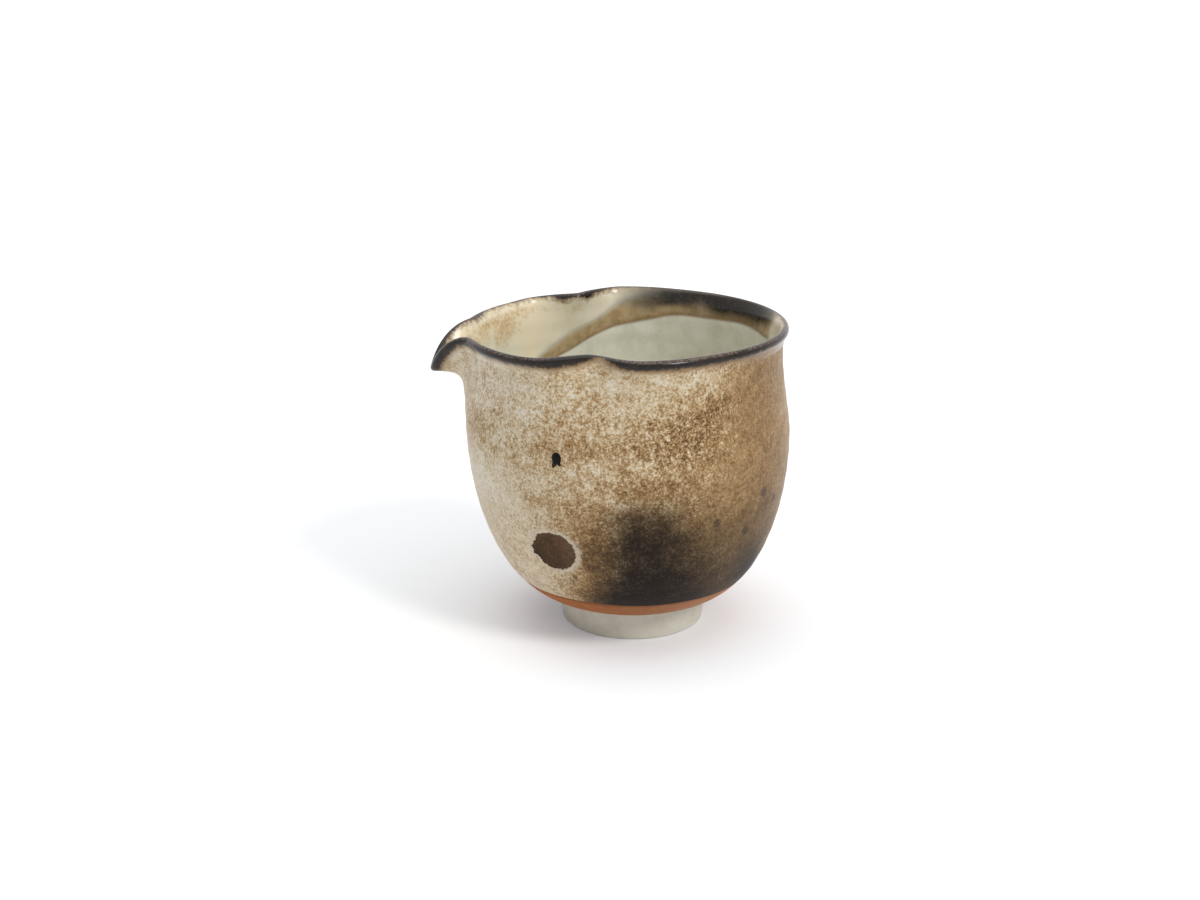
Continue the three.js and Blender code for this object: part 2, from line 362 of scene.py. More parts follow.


# %% [markdown]
# The glaze is one melt that is dark brown where it is thin, tan where it is even and nearly white
# where ash settled on it. So one number says how pale it is. It falls with the bearing, from the
# spout round to the far side, and soft clouds make it paler or browner. Its low values on the
# right, near bearings 126 and 140, are partly the melt's own tan and partly painted shade on that
# side. The back isn't in the photograph, and has the same zones in a milder order.

# %% How pale the outside is
PALE_BEARINGS = [-180, -150, -115, -80, -45, 0, 47, 62, 80, 98, 112, 126, 140, 180]
# The shares at bearings 126 and 140 are partly the melt's own tan and partly painted shade on the right
# side.
PALE_SHARES_WITH_SHADE = [0.32, 0.37, 0.48, 0.62, 0.76, 0.80, 0.79, 0.65, 0.61, 0.55, 0.44, 0.38, 0.28, 0.31]
PALE_CLOUDS = [
    (100, 77, 32, 6, 0.17), (114, 76, 9, 4, 0.08), (58, 73, 12, 5, 0.06), (86, 66.5, 7, 2.5, 0.07),
    (74, 54.5, 8, 3, 0.05), (22, 45, 16, 6, 0.14), (34, 44, 10, 5, 0.04),
    (56, 43.5, 1.6, 1.2, 0.22), (-80, 70, 30, 8, 0.10), (-40, 40, 20, 9, 0.08),
    (165, 63, 16, 8, 0.11), (-150, 47, 18, 7, 0.13), (-125, 73, 14, 4, 0.10),
    (178, 28, 14, 5, 0.10),
]
BROWN_CLOUDS = [
    (20, 60, 20, 6, 0.19), (60, 60, 12, 3.5, 0.09), (75, 60.5, 11, 2.6, 0.10),
    (91, 61, 8, 2.8, 0.13), (99, 64.5, 8, 3.5, 0.14), (112, 66.5, 8, 2.8, 0.17),
    (105, 60, 8, 3, 0.14), (119, 69.5, 5, 2.2, 0.20), (126, 72, 5, 2, 0.08),
    (47, 54.5, 6, 3, 0.10), (87, 50, 8, 3, 0.15), (99, 51, 9, 4, 0.09), (60, 45, 8, 4, 0.09),
    (53, 45, 4, 3, 0.08), (73, 44, 9, 3.5, 0.12), (72, 35, 8, 6, 0.45), (73, 25, 8, 7, 0.44),
    (70, 18, 9, 4, 0.42), (60, 19, 6, 3, 0.10), (128, 40, 20, 8, 0.10), (57, 60, 6, 4, 0.08),
    (-60, 58, 22, 4, 0.14), (-95, 62, 16, 5, 0.15), (-92, 34, 14, 9, 0.34), (173, 44, 11, 5, 0.10),
    (-166, 68, 15, 3.5, 0.12), (-136, 59, 10, 3.5, 0.13), (-158, 31, 9, 6, 0.10),
    (93, 36, 16, 11, 0.22),
]
FLECKS = [
    (14, 59, 3, 0.8, 0.12), (22, 58.5, 3.5, 0.9, 0.13), (28, 57.2, 3.5, 1, 0.16),
    (36, 56.6, 3.5, 0.8, 0.14), (41, 58.7, 1, 0.7, 0.45), (43.8, 58.2, 0.8, 0.6, 0.36),
    (33.8, 66, 0.9, 0.6, 0.42), (25, 74, 2, 0.5, 0.22), (27, 72, 1.2, 0.6, 0.24),
    (20, 71.6, 3, 0.6, 0.16), (36.5, 74.8, 0.8, 0.6, 0.30), (18, 64, 4, 1.6, 0.12),
    (26, 61, 5, 1.4, 0.12), (36, 28, 2, 1.6, 0.14), (34, 33.5, 1.6, 0.7, 0.12),
    (63.5, 66.5, 2.2, 1.4, 0.16), (-24, 60, 6, 1.2, 0.22), (-41, 66, 1.2, 0.8, 0.40),
    (-70, 52, 1, 0.8, 0.36), (-145, 65, 1.1, 0.8, 0.40), (-169, 52, 1, 0.7, 0.36),
    (171, 67, 1.1, 0.7, 0.36), (-129, 44, 0.9, 0.7, 0.40),
]


def paleness(bearing, height):
    """0 where the melt is dark brown and 1 where it is white: a curve by bearing, partly painted shade
    on the right, and the clouds.
    """
    base = np.interp(bearing, PALE_BEARINGS, PALE_SHARES_WITH_SHADE)
    clouds = spots(bearing, height, PALE_CLOUDS) - spots(bearing, height, BROWN_CLOUDS)
    return base + clouds - spots(bearing, height, FLECKS)


belly = paleness(np.array([0, 60, 120, 180]), BELLY_HEIGHT)
print("paleness round the belly, from the spout to the back:", np.round(belly, 2))

# %% [markdown]
# The two colours of the melt parted most in the middle of the front, where they stand side by side
# as a lively mottle. Towards the spout the ash veils it, and on the far side it is nearly even.

# %% How lively the mottle is
LIVELY_BEARINGS = [-180, -130, -80, -30, 0, 25, 45, 62, 100, 112, 128, 145, 180]
LIVELY_SHARES = [0.65, 0.8, 1.0, 0.8, 0.7, 0.95, 1.0, 1.1, 1.15, 1.05, 0.68, 0.6, 0.65]
CALM_PLACES = [(30, 38, 24, 11, 0.25), (70, 30, 9, 9, 0.15), (86, 77, 26, 6, 0.30)]
BUSY_PLACES = [
    (28, 66, 14, 9, 0.35), (105, 62, 12, 6, 0.80), (118, 69, 8, 4, 0.5), (75, 66, 25, 14, 0.12),
]
SLANT, SLANT_HEIGHT, SLANT_FROM = 0.45, 60, 80


def liveliness(bearing, height):
    """Strength of the mottle: a curve by a bearing that slants with the height, and the places."""
    slanted = np.where(bearing > SLANT_FROM, bearing - (height - SLANT_HEIGHT) * SLANT, bearing)
    level = np.interp(slanted, LIVELY_BEARINGS, LIVELY_SHARES)
    return level + spots(bearing, height, BUSY_PLACES) - spots(bearing, height, CALM_PLACES)


# %% [markdown]
# Embers lay against the pot low on the front and charred it. The char sets in quickly below its
# upper edge, ends softly on the left, and thins to smoke on the right. Around it lie a few smudges
# and small round marks like drops. The three smudges low on the right, at bearings 142 to 148, are
# partly smoke and partly painted shade on that side. A smudge with a strength below zero is a
# thinner place.

# %% Char, smudges with painted shade, and round marks outside
CHAR_BEARINGS = [76, 86, 100, 106, 112, 125, 140, 165]
CHAR_TOPS = [50, 53, 52, 51, 49, 47, 47, 46]
CHAR_DEPTHS = [8.5, 8.2, 8.4, 10, 12.3, 16, 18, 23]
CHAR_SHARPNESS = [2.2, 2.2, 2.0, 1.7, 1.5, 1.5, 1.5, 1.4]
CHAR_EDGE_HEIGHTS, CHAR_EDGE_BEARINGS = [15, 20, 28, 40], [64.5, 70.5, 74, 76]
CHAR_LEFT_FADE, CHAR_RIGHT_FADE = (-6, 12), (146, 178)
CHAR_MOST = 0.965
DROP_FADE, DROP_MIDDLE, DROP_RING = (0.55, 1.3), 0.9, 0.4
# The smudges at bearings 142, 144 and 148 are partly smoke and partly painted shade on the lower right.
SMUDGES_AND_SHADE = [
    (92, 38.5, 9, 4, 0.04), (95, 22, 10, 7, 0.06), (95, 16, 24, 1.6, 0.16),
    (142, 41, 4, 2.5, 0.22), (144, 25, 10, 5, 0.20), (148, 20.8, 8, 3, 0.20),
    (106, 33, 6, 4, -0.08), (-100, 22, 20, 8, 0.75), (100, 31, 2.5, 1.5, -0.06),
    (83, 33, 3, 2, -0.05),
]
ROUND_MARKS = [
    (140, 44.3, 1.5, 0.9), (149.5, 40.6, 1.3, 0.7), (117.7, 39.6, 1.35, 0.8),
    (118.6, 37.4, 1, 0.6), (113, 41.5, 0.75, 0.8), (132.3, 34.8, 1.35, 0.85), (74.2, 38.5, 0.6, 1),
    (80.5, 36, 0.8, 1), (64, 24.4, 0.85, 0.8), (62.5, 22.6, 0.8, 0.7), (85.3, 50.2, 0.55, 1),
    (-60, 44, 1.3, 0.9), (-118, 60, 1.1, 0.8),
]


def char_and_shade_zone(bearing, height):
    """Share of char: 1 - exp(-(depth below its top / its depth) ^ sharpness), and the smudges, partly
    painted shade.
    """
    top = np.interp(bearing, CHAR_BEARINGS, CHAR_TOPS)
    sharpness = np.interp(bearing, CHAR_BEARINGS, CHAR_SHARPNESS)
    depth = np.maximum(0, top - height) / np.interp(bearing, CHAR_BEARINGS, CHAR_DEPTHS)
    beyond = bearing - np.interp(height, CHAR_EDGE_HEIGHTS, CHAR_EDGE_BEARINGS)
    sides = soft(beyond, *CHAR_LEFT_FADE) * (1 - soft(bearing, *CHAR_RIGHT_FADE))
    return CHAR_MOST * (1 - np.exp(-depth**sharpness)) * sides + spots(bearing, height, SMUDGES_AND_SHADE)


def round_marks(bearing, height):
    """Darkness of small round marks: each a disc of some radius in mm, darker at its edge."""
    total = np.zeros(np.broadcast(bearing, height).shape)
    for place, level, radius, strength in ROUND_MARKS:
        aside = np.radians(turned(bearing, place)) * BELLY_RADIUS
        away = np.hypot(aside, height - level) / radius
        disc = (1 - soft(away, *DROP_FADE)) * (DROP_MIDDLE + DROP_RING * away**2)
        total = np.maximum(total, strength * disc)
    return np.minimum(total, 1)


print("most char on the front:", round(char_and_shade_zone(np.arange(60, 140), 20.0).max(), 2))

# %% [markdown]
# A patch the size of a fingertip stayed free of glaze: the fingers that dipped the pot held it
# there. It is brown and dull, lies a hair deeper than the glaze, and a paler ring surrounds it. Its
# outline is an egg with a bite out of its lower left, given as a distance from the edge in mm.

# %% The bare patch
PATCH_BEARING, PATCH_HEIGHT = 57.1, 31.4
PATCH_WIDE, PATCH_TALL = 6.35, 5.4
PATCH_BITES = [
    (48.7, 28, 1.6, 0.9, 1.8), (50.6, 29.3, 1, 0.35, 0.9), (49.4, 34.2, 1.1, 0.6, 0.8),
    (65.5, 36.5, 2, 1.5, 0.9), (47.2, 31.3, 1.1, 0.6, -0.9), (48.2, 29.8, 0.9, 0.4, -1.2),
    (52.5, 26.6, 1, 0.5, 0.5), (66, 26.6, 2.2, 1.4, 0.6),
]
PATCH_DEPTH, PATCH_TILT = 0.14, 0.08
PATCH_RADIUS, PATCH_SQUARENESS = 40.3, 2.3
PATCH_MIDDLE, PATCH_FAR = 5.6, 4


def patch_edge(bearing, height):
    """Distance inside the patch in mm: positive within, from a stretched circle less its bites."""
    aside = np.radians(turned(bearing, PATCH_BEARING)) * PATCH_RADIUS
    above = height - PATCH_HEIGHT - PATCH_TILT * aside
    sideways = (np.abs(aside) / PATCH_WIDE) ** PATCH_SQUARENESS
    upward = (np.abs(above) / PATCH_TALL) ** PATCH_SQUARENESS
    inside = (1 - (sideways + upward) ** (1 / PATCH_SQUARENESS)) * PATCH_MIDDLE
    return np.clip(inside - spots(bearing, height, PATCH_BITES), -PATCH_FAR, PATCH_FAR)


# %% [markdown]
# Inside, the green glaze was poured and swirled. A brown band climbs from the floor on the
# spout's side to the back of the lip, where it turns nearly black under the iron edge. Its lower
# and upper edges are drawn through a few heights by bearing, and it fades out at both of its ends.

# %% The brown band inside
BAND_BEARINGS = [-172, -160, -148, -133, -111, -100, -89, -75.5, -65, -57, -50, -44, -38, -32]
BAND_LOW = [76.0, 76.8, 77.0, 76.8, 75.3, 74.1, 72.0, 68.0, 64.6, 61.2, 56.6, 50, 40, 26]
BAND_HIGH = [84, 84, 84, 84, 83.0, 81.0, 78.6, 73.9, 69.9, 66.6, 62, 55.5, 46, 33]
BAND_CENTRE, BACK_FADE, SPOUT_FADE = -102, (-74, -68), (48, 72)
BAND_LOW_FADE, BAND_HIGH_FADE = (-0.5, 0.5), (-2.2, 0.9)
CREAM_FADE, CREAM_OVER_BAND = (67, 78), (-0.5, 1.5)
GREENER, GREENER_BEARING, GREENER_WIDTH = 0.55, -74, 26
# How nearly black the inner wall is just under the lip at the back, by bearing.
BACK_LIP_BLACK_FADE = (-2.3, 1.7)
BACK_LIP_BLACK_BEARINGS = [-178, -168, -160, -136, -120, -110, -102, -94, -88]
BACK_LIP_BLACK_LOW = [82.5, 79.8, 78.6, 78.4, 78.7, 78.3, 77.5, 77.8, 79.0]
BACK_LIP_BLACK_SHARES = [0, 0.85, 1.0, 1.0, 1.0, 0.95, 0.75, 0.4, 0]
BACK_LIP_BLACK_GAPS = [(-127, 79.4, 4.5, 1.3, 0.45), (-112, 78.0, 5, 1.0, 0.15)]
TOASTED = [
    (-38, 76.5, 8, 3, 0.8), (-22, 78.5, 12, 2, 0.7), (-33, 73, 6, 3, 0.6), (-72, 78.5, 5, 2, 0.5),
    (-50, 79.5, 12, 1.5, 0.6), (-15, 76, 8, 3, 0.4), (30, 76, 22, 4, 0.5), (110, 77, 40, 4, 0.5),
]


def inner_bands(bearing, height):
    """Four shares for the inside: how far up the brown band a point lies, how much it belongs to the
    band, how creamy the glaze is above it, and how nearly black it is under the lip at the back."""
    low = np.interp(bearing, BAND_BEARINGS, BAND_LOW)
    high = np.interp(bearing, BAND_BEARINGS, BAND_HIGH)
    along = turned(bearing, BAND_CENTRE)
    span = soft(along, *BACK_FADE) * (1 - soft(along, *SPOUT_FADE))
    across = np.clip((height - low) / (high - low), 0, 1)
    band = span * soft(height - low, *BAND_LOW_FADE) * (1 - soft(height - high, *BAND_HIGH_FADE))
    greener = 1 - GREENER * hump(turned(bearing, GREENER_BEARING), GREENER_WIDTH)
    cream = mix(soft(height, *CREAM_FADE), soft(height - high, *CREAM_OVER_BAND), span) * greener
    blackened = np.interp(bearing, BACK_LIP_BLACK_BEARINGS, BACK_LIP_BLACK_SHARES)
    above = height - np.interp(bearing, BACK_LIP_BLACK_BEARINGS, BACK_LIP_BLACK_LOW)
    back_lip_black = blackened * soft(above, *BACK_LIP_BLACK_FADE) - spots(bearing, height, BACK_LIP_BLACK_GAPS)
    return across, band, cream, back_lip_black


# %% [markdown]
# The iron edge runs down from the lip by a distance that changes with the bearing: far down on both
# sides of the spout, hardly at all just behind the notch, and in dark tongues at the notch itself.

# %% Reach of the iron edge
IRON_OUTSIDE, IRON_INSIDE, IRON_FAR = 2.0, 1.25, 6
REACH_OUTSIDE = [
    (0, 9, 1), (64, 8, 0.9), (72, 2.2, 0.3), (77, 3.2, -1.1), (95, 14, 0.35), (-75, 6, 0.6),
]
REACH_INSIDE = [
    (0, 10, 1.2), (-20, 6, 0.6), (-67, 2.6, 0.9), (-76, 2, 1.1), (-98, 14, 0.35), (-150, 16, 1),
    (72, 4, 1), (178, 12, -0.5),
]


def iron_edge(bearing, under_lip, side):
    """Distance in mm inside the iron's border: its reach there less the way from the crest."""
    outer = IRON_OUTSIDE + spots_round(bearing, REACH_OUTSIDE)
    inner = IRON_INSIDE + spots_round(bearing, REACH_INSIDE)
    return np.clip(mix(outer, inner, side) - under_lip, -IRON_FAR, IRON_FAR)


# %% [markdown]
# All this is kept with the mesh as marks, one number per point for each. Colours that run over the
# lip can then fade smoothly from one coat to the next, though each coat is a mesh of its own.

# %% Marks for the materials
def lip_round(bearing, angle, depth=0.0):
    """The rounded lip: half a circle from the outer face, at angle 0, to the inner one, at 180."""
    half = lip_wall(bearing) / 2
    radius = half - depth
    turn = np.radians(angle)
    top = np.ones(np.broadcast(half, turn).shape)
    return within(bearing, top, half - radius * np.cos(turn), radius * np.sin(turn))


crest = lip_round(BEARINGS, 90.0)
SHIFT, SHIFT_SEED = 2.0, 31
LIFT, LIFT_SEED = 1.0, 32
INNER_SHARE = 0.4


def glaze_marks(grid, side):
    """The marks of a coat's points: 0 as side means the outer face and 1 the inner one. Borders are
    shifted round the pot and lifted by a wandering, so that they aren't drawn too cleanly."""
    height, under_lip = grid[..., 2], gap(grid, crest)
    shift = SHIFT * wander(BEARINGS, height, SHIFT_SEED, waves_round=14, wavelength=12)
    lift = LIFT * wander(BEARINGS, height, LIFT_SEED, waves_round=16, wavelength=10)
    inner_shift, inner_lift = INNER_SHARE * shift, INNER_SHARE * lift
    across, band, cream, back_lip_black = inner_bands(BEARINGS + inner_shift, height + inner_lift)
    return {
        "side": side, "under_lip": under_lip, "height": height,
        "iron": iron_edge(BEARINGS, under_lip, side),
        "pale": paleness(BEARINGS, height), "lively": liveliness(BEARINGS, height),
        "char_and_shade": char_and_shade_zone(BEARINGS + shift, height + lift),
        "round_marks": round_marks(BEARINGS, height), "patch": patch_edge(BEARINGS, height),
        "across": across, "band": band, "cream": cream, "back_lip_black": back_lip_black,
        "toasted": spots(BEARINGS, height, TOASTED),
    }


# %% [markdown]
# The outer coat is the thick ash glaze, from just above the foot to the dark lip. It ends below in
# a small rolled edge, where the melt stopped running. So its lowest rows lie close together and
# curve in to the clay, and the rest climb evenly to the lip. Behind this fine face lies a coarse
# one that nobody sees, which closes the coat.

# %% Rows of the outer coat
ROLL, ROLL_FULLNESS, ROLL_ROWS = 0.45, 0.98, 9
FRONT_ROWS, BACK_ROWS = 150, 9


def spaced(start, end, shares):
    """Rows between two values that differ by column: start + (end - start) x share."""
    return mix(start[None, :], end[None, :], np.asarray(shares)[:, None])


def outer_rises():
    """Rises of the front: close together over the rolled edge, then evenly up to the rim coat."""
    roll_end = rise_at_height(edge_height + 2 * ROLL)
    roll = spaced(glaze_start, roll_end, np.linspace(0, 1, ROLL_ROWS) ** 2)
    climb = spaced(roll_end, rim_start, np.linspace(0, 1, FRONT_ROWS))
    return np.concatenate([roll, climb[1:]])


def rolled(bearing, rise):
    """Depth that rounds off the coat's lower edge: a quarter circle that falls away to the clay."""
    away = gap(outside(bearing, rise), outside(bearing, glaze_start))
    share = np.clip(1 - away / ROLL, 0, 1)
    return ROLL / 2 * (1 - np.sqrt(1 - share**2 * ROLL_FULLNESS))


OUTSIDE_SEED, INSIDE_SEED = 3, 8
PATCH_SLOPE = (-0.2, 0.5)
rises = outer_rises()
patch = soft(patch_edge(BEARINGS, profile(BEARINGS, rises)[1]), *PATCH_SLOPE) * PATCH_DEPTH
skin = unevenness(BEARINGS, rises, OUTSIDE_SEED)
front = within(BEARINGS, rises, skin + rolled(BEARINGS, rises) + patch)
back = within(BEARINGS, spaced(rim_start, glaze_start, np.linspace(0, 1, BACK_ROWS)), COAT)
grid = np.concatenate([front, back])
pot_outside = make_piece("pot_outside", grid, glaze_marks(grid, 0.0), [len(front) - 1, -1])

# %% [markdown]
# The dark iron edge saddles the lip: up the last millimetres of the outside, over the rounded
# crest and down the inside. It shares its two border rows with the coats next to it, point for
# point, so no seam shows.

# %% The coat over the lip
SADDLE_ROWS, CREST_ROWS = 12, 20
BACK_STEP, CREST_BACK_STEP = 2, 3


def inner_face(rises):
    """The inner face of the wall: its whole thickness in, less the unevenness of the inside."""
    return within(BEARINGS, rises, wall(BEARINGS, rises) - unevenness(BEARINGS, rises, INSIDE_SEED))


def inner_coat_back(rises):
    """The hidden back of a coat on the inner face."""
    return within(BEARINGS, rises, wall(BEARINGS, rises) - COAT)


up = spaced(rim_start, np.ones(COLUMNS), np.linspace(0, 1, SADDLE_ROWS))
down = up[::-1]
angles = np.linspace(0, 180, CREST_ROWS + 1)[1:-1, None]
shown = [
    within(BEARINGS, up, unevenness(BEARINGS, up, OUTSIDE_SEED)),
    lip_round(BEARINGS, angles),
    inner_face(down),
]
under = [
    inner_coat_back(down)[::-BACK_STEP],
    lip_round(BEARINGS, angles, COAT)[::-CREST_BACK_STEP],
    within(BEARINGS, up, COAT)[::-BACK_STEP],
]
grid = np.concatenate([*shown, *under])
side = np.zeros((len(grid), 1))
shown_rows = 2 * SADDLE_ROWS + len(angles)
side[SADDLE_ROWS : SADDLE_ROWS + len(angles)] = angles / 180
side[SADDLE_ROWS + len(angles) : shown_rows] = 1
pot_rim = make_piece("pot_rim", grid, glaze_marks(grid, side), [0, shown_rows - 1])

# %% [markdown]
# The inner coat is the green glaze, a thin bowl inside the bowl. Its front goes down the inner
# wall, over the soft curve where the wall meets the floor, and in to the centre, where one pole
# point closes it. The wall's formula stops where the floor begins, so the floor is drawn from
# there to the pole as a shallow dish.

# %% The green coat inside
FLOOR_ROWS = 26
WALL_BACK_STEP, FLOOR_BACK_STEP = 12, 8
floor_centre = np.array([-LEAN * UNDER_HEIGHT, 0, UNDER_HEIGHT + BASE_WALL])

down = spaced(rim_start, np.zeros(COLUMNS), np.linspace(0, 1, FRONT_ROWS))
inner_wall = inner_face(down)
shares = np.linspace(0, 1, FLOOR_ROWS + 1)[1:-1, None, None]
floor_rows = mix(inner_wall[-1][None], floor_centre, shares)
inner_back = inner_coat_back(down)[::-WALL_BACK_STEP]
back_centre = floor_centre - np.array([0, 0, COAT])
back_floor = mix(inner_back[0][None], back_centre, shares[::FLOOR_BACK_STEP])[::-1]
grid = np.concatenate([back_floor, inner_back, inner_wall, floor_rows])
edge_row = len(back_floor) + len(inner_back)
poles = [back_centre, floor_centre]
pot_inside = make_piece("pot_inside", grid, glaze_marks(grid, 1.0), [edge_row - 1, edge_row], poles)

# %% [markdown]
# Between the foot and the glaze a strip of bare clay was left, and the kiln's flame turned it
# orange. It is a thin ring that starts beside the foot and ends hidden under the glaze's edge. Two
# marks say where the embers smoked it and where its colour is faded.

# %% The band of bare clay
FOOT_RADIUS, FOOT_SPREAD, FOOT_WALL, FOOT_ROUND = 19.4, 0.9, 5.2, 0.6
BAND_GAP, BAND_UNDERLAP = 0.15, 1.0
BAND_DEPTH, BAND_BACK, BAND_ROWS, BAND_BACK_STEP = 0.2, 0.5, 30, 6
TURNING_DEPTH, TURNING_LINES = 0.02, 8
SMOKED, FADED = [(88, 34, 0.28)], [(132, 40, 0.6)]

beside_foot = FOOT_RADIUS + FOOT_SPREAD + BAND_GAP
band_start = find_rise(0, BELLY_RISE, lambda rise: profile(BEARINGS, rise)[0] < beside_foot)
band_end = rise_at_height(edge_height + BAND_UNDERLAP)
climb = np.linspace(0, 1, BAND_ROWS)
rises = spaced(band_start, band_end, climb)
turning = TURNING_DEPTH * np.cos(2 * np.pi * climb * TURNING_LINES)[:, None]
front = within(BEARINGS, rises, BAND_DEPTH + turning)
grid = np.concatenate([front, within(BEARINGS, rises, BAND_BACK)[::-BAND_BACK_STEP]])
marks = {
    "height": grid[..., 2],
    "smoked": spots_round(BEARINGS, SMOKED), "faded": spots_round(BEARINGS, FADED),
}
pot_band = make_piece("pot_band", grid, marks, [0, len(front) - 1, len(front), -1])

# %% [markdown]
# The foot ring was turned with a loop tool when the clay was leather hard. Its profile is a short
# wall, a little wider above, with its lower edges rounded so that they don't chip or scratch the
# table. The profile is a list of corners joined by straight lines, with many rows on each line.

# %% The foot ring
FOOT_SUNK = 0.02
CORNER_ROWS, BOTTOM_ROWS, OUTER_ROWS, TOP_ROWS, INNER_ROWS = 7, 12, 40, 4, 20
GROOVE_DEPTH, GROOVE_SEED, GROOVE_START, GROOVE_CLOSENESS = 0.03, 21, 0.3, 6
foot_top = UNDER_HEIGHT + COAT + CLEARANCE - FOOT_SUNK
inner_radius = FOOT_RADIUS - FOOT_WALL


def quarter(radius, start):
    """The rounding of a lower edge: a quarter circle about a point of the section, from an angle."""
    turn = np.radians(start + np.linspace(0, 90, CORNER_ROWS))
    return np.stack([radius + FOOT_ROUND * np.cos(turn), FOOT_ROUND + FOOT_ROUND * np.sin(turn)], -1)


def line(start, end, rows):
    """Points evenly along a straight line, without its two ends."""
    shares = np.linspace(0, 1, rows + 2)[1:-1, None]
    return mix(np.array(start), np.array(end), shares)


outer_top = (FOOT_RADIUS + FOOT_SPREAD, foot_top)
inner_top = (inner_radius - FOOT_SPREAD / 2, foot_top)
section = np.concatenate([
    quarter(inner_radius + FOOT_ROUND, 180),
    line((inner_radius + FOOT_ROUND, 0), (FOOT_RADIUS - FOOT_ROUND, 0), BOTTOM_ROWS),
    quarter(FOOT_RADIUS - FOOT_ROUND, 270),
    line((FOOT_RADIUS, FOOT_ROUND), outer_top, OUTER_ROWS),
    [outer_top],
    line(outer_top, inner_top, TOP_ROWS),
    [inner_top],
    line(inner_top, (inner_radius, FOOT_ROUND), INNER_ROWS),
])
radius, height = section[:, :1], section[:, 1:]
angle = np.radians(180 + BEARINGS)
close = height * GROOVE_CLOSENESS
lines = 1 + wander(BEARINGS, close, GROOVE_SEED, waves_round=1, wavelength=9)
groove = GROOVE_DEPTH * lines * np.clip(height - GROOVE_START, 0, 1)
outer = radius > (FOOT_RADIUS + inner_radius) / 2
radius = radius - np.where(outer, groove, -groove)
grid = np.stack([radius * np.cos(angle), radius * np.sin(angle), height + 0 * radius], -1)
inner_corner = len(section) - INNER_ROWS - 1
pot_foot = make_piece("pot_foot", grid, sharp_rows=[inner_corner - TOP_ROWS - 1, inner_corner])

# %% [markdown]
# Under the coats lies the clay of the bowl itself. Only its underside shows, inside the foot ring,
# with the fine spiral of the turning tool. The rest is hidden, but the piece is whole, because a
# pot is one lump of clay with coats on it.

# %% The clay body
SPIRAL_PITCH, SPIRAL_DEPTH, SPIRAL_START = 1.6, 0.05, 3
UNDER_ROWS, CLAY_ROWS, CLAY_FLOOR_ROWS = 48, 40, 6
clay_depth = COAT + CLEARANCE
under_centre = np.array([-LEAN * UNDER_HEIGHT, 0, UNDER_HEIGHT + clay_depth])
start_ring = within(BEARINGS, np.zeros(COLUMNS), clay_depth)
shares = np.linspace(0, 1, UNDER_ROWS + 1)[1:, None, None]
underside = mix(under_centre, start_ring[None], shares)
reach = gap(underside, under_centre)
spiral = SPIRAL_DEPTH * (1 + np.cos(2 * np.pi * (reach / SPIRAL_PITCH - BEARINGS / 360)))
underside[..., 2] += spiral * np.clip(reach / SPIRAL_START, 0, 1) * (reach < inner_radius)
rises = spaced(np.zeros(COLUMNS), np.ones(COLUMNS), np.linspace(0, 1, CLAY_ROWS))
clay_outer = within(BEARINGS, rises, clay_depth)[1:]
clay_lip = lip_round(BEARINGS, np.array([[45.0], [90.0], [135.0]]), clay_depth)
clay_inner = within(BEARINGS, rises, wall(BEARINGS, rises) - clay_depth)[::-1]
clay_floor = floor_centre - np.array([0, 0, clay_depth])
shares = np.linspace(0, 1, CLAY_FLOOR_ROWS + 1)[1:-1, None, None]
floor_rows = mix(clay_inner[-1][None], clay_floor, shares)
grid = np.concatenate([underside, clay_outer, clay_lip, clay_inner, floor_rows])
pot_clay = make_piece("pot_clay", grid, poles=[under_centre, clay_floor])

# %% [markdown]
# A drop of the black iron glaze fell on the wall while the lip was being brushed. It stands proud
# of the ash as a glassy bead with two feet. The bead is a dome over an outline, and the outline is
# a circle pulled out downwards twice, as the drop began to run.

# %% The bead of iron on the wall
BEAD_BEARING, BEAD_HEIGHT = 62.1, 57.7
BEAD_WIDE, BEAD_TALL = 1.34, 1.62
BEAD_FEET = [(248, 26, 1.25), (301, 22, 0.7)]
BEAD_PROUD, BEAD_SUNK, BEAD_BACK = 0.28, 0.22, 0.24
BEAD_FULLNESS, BEAD_ROWS, BEAD_COLUMNS, BEAD_BACK_STEP = 0.999, 14, 72, 4
PROFILE_SAMPLES = 4001


def rise_from_height(bearing, height):
    """The rise that has a height near the bead, read off a finely sampled profile."""
    sampled = np.linspace(0, 1, PROFILE_SAMPLES)
    return np.interp(height, profile(np.full(sampled.shape, bearing), sampled)[1], sampled)


degrees = np.linspace(0, 360, BEAD_COLUMNS, endpoint=False)
clock = np.radians(degrees)
outline = 1 / np.hypot(np.cos(clock) / BEAD_WIDE, np.sin(clock) / BEAD_TALL)
for foot_angle, foot_width, foot_length in BEAD_FEET:
    outline = outline + foot_length * hump(turned(degrees, foot_angle), foot_width)
share = np.sin(np.linspace(0, np.pi / 2, BEAD_ROWS + 1)[1:])[:, None]
dome = np.sqrt(1 - share**2 * BEAD_FULLNESS)
aside = share * outline * np.cos(clock)
above = share * outline * np.sin(clock)
bead_bearing = BEAD_BEARING + np.degrees(aside / BELLY_RADIUS)
bead_rise = rise_from_height(BEAD_BEARING, BEAD_HEIGHT + above)
proud = within(bead_bearing, bead_rise, BEAD_SUNK - (BEAD_PROUD + BEAD_SUNK) * dome)
sunk = within(bead_bearing, bead_rise, BEAD_BACK)[1::BEAD_BACK_STEP]
centre = np.array([BEAD_BEARING]), rise_from_height(BEAD_BEARING, np.array([BEAD_HEIGHT]))
ends = [within(*centre, BEAD_BACK)[0], within(*centre, -BEAD_PROUD)[0]]
iron_bead = make_piece("iron_bead", np.concatenate([sunk, proud[::-1]]), poles=ends)

